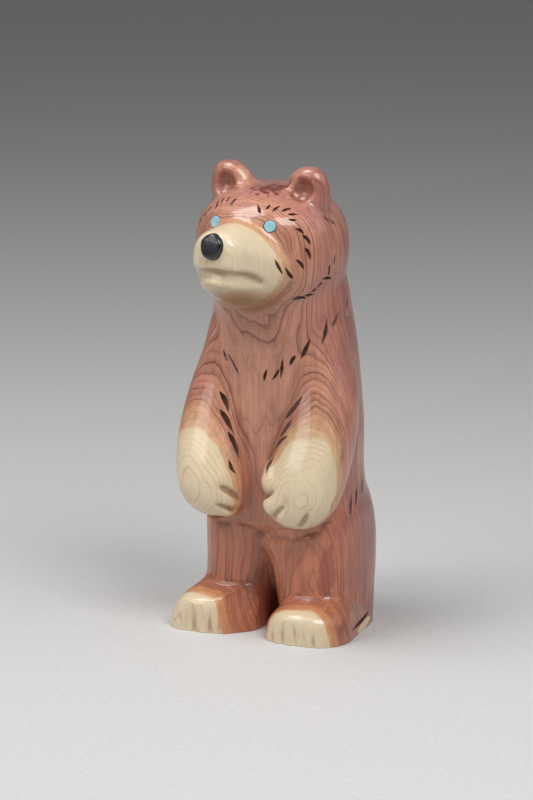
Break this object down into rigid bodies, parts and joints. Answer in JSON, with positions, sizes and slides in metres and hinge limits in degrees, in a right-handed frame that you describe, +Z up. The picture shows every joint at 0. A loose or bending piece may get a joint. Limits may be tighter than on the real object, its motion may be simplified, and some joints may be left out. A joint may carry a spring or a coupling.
{
  "type": "carved bear fetish",
  "caption": "Standing bear carved from one piece of wood with inlaid stone eyes and nose; a small tabletop sculpture that rests on its own feet.",
  "frame": {"origin": "middle of the underside of the figure, on the plane its feet rest on", "axes": "+Z up, the bear faces -Y, +X towards the bear's left"},
  "size_m": [0.0606, 0.0702, 0.1499],
  "materials": {
    "cedar": "polished red juniper heartwood and cream sapwood under clear lacquer",
    "turquoise": "polished pale blue turquoise",
    "black_stone": "polished black stone"
  },
  "bodies": {
    "root": {"bear_body": "cedar", "eye_left": "turquoise", "eye_right": "turquoise", "nose": "black_stone"}
  },
  "joints": []
}
